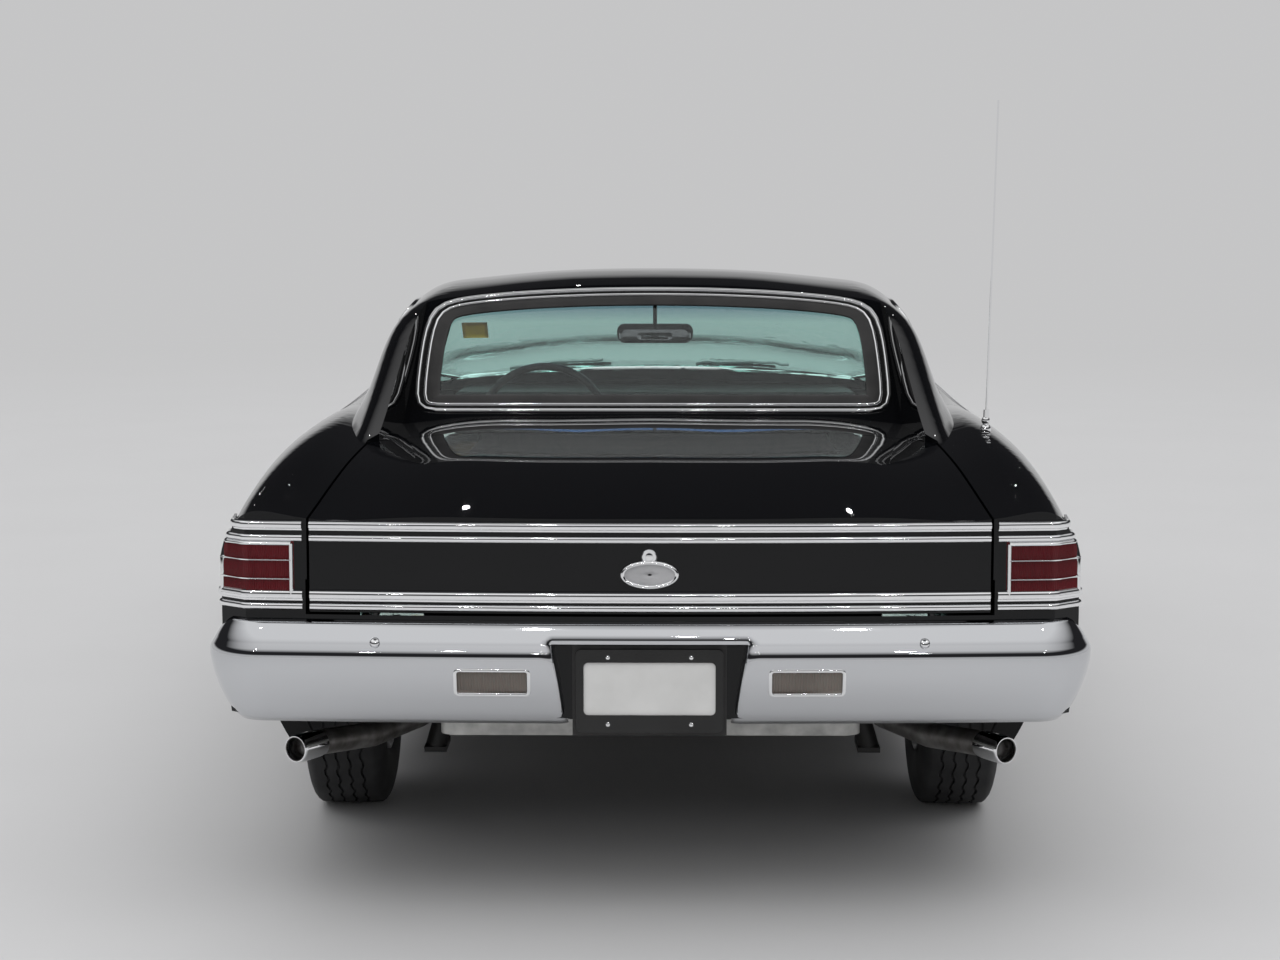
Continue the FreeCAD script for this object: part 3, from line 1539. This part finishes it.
# Cabin
dash_half = 660.0
dash_shoulder = 90.0
dash_top = 914.0
dash_base = 700.0
dash_face_y = 436.0
dash_front_y = cowl_rear_y - seat_gap
dash_toe_y = firewall_y - seat_gap
dash_ledge_height = 850.0
steering_wheel_x = -338.0
steering_wheel_y = 168.0
steering_wheel_height = 825.0
steering_wheel_radius = 190.0
steering_rim_radius = 12.0
rim_sides = 8
steering_tilt = 25.0
steering_dish = 46.0
column_radius = 27.0
column_gap = 0.3
horn_radius = 52.0
spoke_width = 26.0
spoke_gauge = 8.0
spoke_count = 3


def column_axis():
    # Unit vector from the steering wheel down the column towards the firewall
    tilt = math.radians(steering_tilt)
    return Vector(0, math.cos(tilt), -math.sin(tilt))


def dashboard():
    # Padded dash with rounded shoulders, and the steering column below it
    side = [
        (dash_face_y + overrun, dash_base),
        (dash_face_y, dash_base + overrun),
        (dash_face_y + sheet, dash_top - overrun),
        (dash_face_y + overrun, dash_top - sheet),
        (dash_front_y, dash_top),
        (dash_front_y, dash_ledge_height),
        (dash_toe_y, dash_ledge_height),
        (dash_toe_y, dash_base + overrun),
    ]
    body = side_prism(side, -dash_half, dash_half)
    corner = dash_half - dash_shoulder
    mid = dash_shoulder * math.sqrt(0.5)
    arcs = []
    for flip in (1, -1):
        arcs.append(Part.Arc(Vector(flip * corner, 0, dash_top),
                             Vector(flip * (corner + mid), 0, dash_top - dash_shoulder + mid),
                             Vector(flip * dash_half, 0, dash_top - dash_shoulder)).toShape())
    lines = [
        Part.makeLine(Vector(-corner, 0, dash_top), Vector(corner, 0, dash_top)),
        Part.makeLine(Vector(dash_half, 0, dash_top - dash_shoulder), Vector(dash_half, 0, dash_base)),
        Part.makeLine(Vector(dash_half, 0, dash_base), Vector(-dash_half, 0, dash_base)),
        Part.makeLine(Vector(-dash_half, 0, dash_base), Vector(-dash_half, 0, dash_top - dash_shoulder)),
    ]
    outline = Part.Face(Part.Wire(Part.__sortEdges__(arcs + lines))).extrude(Vector(0, half_length, 0))
    body = body.common(outline)
    centre = Vector(steering_wheel_x, steering_wheel_y, steering_wheel_height)
    start = centre + column_axis() * (steering_dish + column_gap)
    length = (firewall_y - start.y) / column_axis().y
    column = rod(start, start + column_axis() * length, column_radius)
    column = column.common(box(-half_width, 0, 0, firewall_y, 0, roof_height))
    return body.fuse(column)


def steering_wheel():
    # Thin rim, three spokes and a domed centre, built flat and then tilted
    section = []
    for index in range(rim_sides + 1):
        angle = math.tau * index / rim_sides
        section.append(Vector(steering_wheel_radius + steering_rim_radius * math.cos(angle), 0,
                              steering_rim_radius * math.sin(angle)))
    rim = Part.Face(Part.makePolygon(section)).revolve(origin, upward, 360)
    horn = Part.makeCone(column_radius, horn_radius, steering_dish - overrun / 4,
                         Vector(0, 0, -steering_dish), upward)
    cap = Part.makeCylinder(horn_radius, sheet, Vector(0, 0, -overrun / 4))
    pieces = [horn, cap]
    for index in range(spoke_count):
        spoke = box(0, steering_wheel_radius, -spoke_width / 2, spoke_width / 2, -spoke_gauge, 0)
        spoke.rotate(origin, upward, 270 + 360 * index / spoke_count)
        pieces.append(spoke)
    wheel = rim.fuse(pieces)
    wheel.rotate(origin, across, 90 - steering_tilt)
    return wheel.translated(Vector(steering_wheel_x, steering_wheel_y, steering_wheel_height))


mirror_width = 232.0
mirror_height = 55.0
mirror_depth = 22.0
mirror_y = 248.0
mirror_centre_height = 1100.0
mirror_stem_radius = 6.0
mirror_foot_y = 60.0


def cabin_mirror():
    case = box(-mirror_width / 2, mirror_width / 2, mirror_y, mirror_y + mirror_depth,
               mirror_centre_height - mirror_height / 2, mirror_centre_height + mirror_height / 2)
    rounded = [edge for edge in case.Edges if abs(edge.Length - mirror_depth) < seat_gap]
    case = case.makeFillet(mirror_height * 0.4, rounded)
    low = Vector(0, mirror_y + mirror_depth / 2, mirror_centre_height)
    high = Vector(0, mirror_foot_y, roof_height)
    stem = rod(low, high, mirror_stem_radius).cut(roof_panel)
    stem = min(stem.Solids, key=lambda solid: solid.CenterOfMass.z)
    return case.fuse(stem)


front_seat_half = 655.0
front_seat_rear_y = -470.0
front_seat_front_y = 130.0
front_cushion_height = 545.0
front_back_height = 872.0
seat_back_thickness = 120.0
seat_back_lean = 96.0
rear_seat_half = 596.0
rear_seat_front_y = -600.0
rear_cushion_height = 560.0
seat_edge_round = 40.0


def seat(half, rear_y, front_y, base, cushion_top, back_top):
    # One bench seat: cushion and leaning backrest in one padded form
    side = [
        (front_y - seat_edge_round, base),
        (front_y, cushion_top - seat_edge_round * 2),
        (front_y - seat_edge_round, cushion_top),
        (rear_y + seat_back_lean + seat_back_thickness, cushion_top - seat_edge_round),
        (rear_y + seat_back_thickness, back_top - seat_edge_round),
        (rear_y + seat_back_thickness - seat_edge_round, back_top),
        (rear_y + seat_edge_round / 2, back_top),
        (rear_y, back_top - seat_edge_round),
        (rear_y + seat_back_lean * 0.8, base),
    ]
    return side_prism(side, -half, half)


def over_tunnel(bench):
    # Cuts a bench away where the floor's tunnel passes under it
    return bench.cut(box(-tunnel_half - seat_gap, tunnel_half + seat_gap, heel_y - seat_gap, half_length, 0,
                         floor_height + tunnel_height + seat_gap))


def front_seat():
    bench = seat(front_seat_half, front_seat_rear_y, front_seat_front_y, floor_height + seat_gap,
                 front_cushion_height, front_back_height)
    return over_tunnel(bench)


def rear_seat():
    bench = seat(rear_seat_half, bulkhead_y + seat_gap, rear_seat_front_y, seat_pan_height + seat_gap,
                 rear_cushion_height, shelf_height - sheet - seat_gap)
    return over_tunnel(bench).cut(frame_body)


# Antenna on the right rear quarter
antenna_inset = 148.0
antenna_x = half_width - antenna_inset
antenna_y = -1500.0
antenna_lean = 20.0
antenna_tip_x = antenna_x + antenna_lean
antenna_tip_height = 1776.0
antenna_radius = 2.4
antenna_ball_radius = 13.0
antenna_sleeve_radius = 7.0
antenna_sleeve_length = 60.0
antenna_height_share = 0.722


def antenna():
    base_height = roof_height * antenna_height_share
    ball = Part.makeSphere(antenna_ball_radius,
                           Vector(antenna_x, antenna_y, base_height + antenna_ball_radius))
    foot = Part.makeCone(antenna_ball_radius * 1.6, antenna_ball_radius * 0.8, antenna_ball_radius * 3,
                         Vector(antenna_x, antenna_y, base_height - antenna_ball_radius * 2))
    start = Vector(antenna_x, antenna_y, base_height + antenna_ball_radius)
    end = Vector(antenna_tip_x, antenna_y, antenna_tip_height)
    mast = rod(start, end, antenna_radius)
    lean = (end - start).normalize()
    sleeve = rod(start, start + lean * antenna_sleeve_length, antenna_sleeve_radius)
    return ball.fuse([foot, mast, sleeve]).cut(outer_form)


frame_body = frame()
quarter = quarter_panel()
front_wing = fender()
save("frame", frame_body)
save("floor_pan", floor_pan())
save("inner_fenders", inner_fenders())
save("radiator_support", radiator_support())
save("rocker_panels", rocker_panels())
save("engine_block", engine_block())
save("driveline", driveline())
save("rear_axle", rear_axle())
rear_links = rear_suspension_side()
save("rear_suspension", Part.makeCompound(rear_links + [mirrored(piece) for piece in rear_links]))
save("front_suspension", front_suspension())
save("exhaust", both_sides(exhaust_side()))
save("fuel_tank", fuel_tank())

save("hood", hood())
save("trunk_lid", trunk_lid())
save("deck_panel", deck_panel())
save("rear_end_panel", rear_end_panel())
save("cowl_panel", cowl_panel())
save("front_end_panel", front_end_panel())
save("grille", grille())
save("headlamps", headlamps())
save("tail_lamps", tail_lamps())
save("rear_bumper", rear_bumper())
save("front_bumper", front_bumper())
save("reversing_lamps", reversing_lamps())
save("parking_lamps", parking_lamps())
save("licence_plate", licence_plate())
save("antenna", antenna())

save("windshield", windshield())
save("rear_window", rear_window())
save("quarter_glass", quarter_glass())
save("dashboard", dashboard())
save("steering_wheel", steering_wheel())
save("cabin_mirror", cabin_mirror())
save("front_seat", front_seat())
save("rear_seat", rear_seat())
save("steering_linkage", steering_linkage())

door_shell, door_pane = door()
handed = {
    "door_panel": door_shell,
    "door_glass": door_pane,
    "quarter_panel": quarter,
    "fender": front_wing,
    "knuckle": knuckle(),
}
for name, shape in handed.items():
    save(name + "_right", shape)
    save(name + "_left", mirrored(shape))

rim = wheel_shape()
tyre = tyre_shape()
corners = {
    "rear_left": (-1, rear_track, rear_axle_y),
    "rear_right": (1, rear_track, rear_axle_y),
    "front_left": (-1, front_track, front_axle_y),
    "front_right": (1, front_track, front_axle_y),
}
for name, (side, track, axle_y) in corners.items():
    save("wheel_" + name, placed_wheel(rim, side, track, axle_y))
    save("tyre_" + name, placed_wheel(tyre, side, track, axle_y))
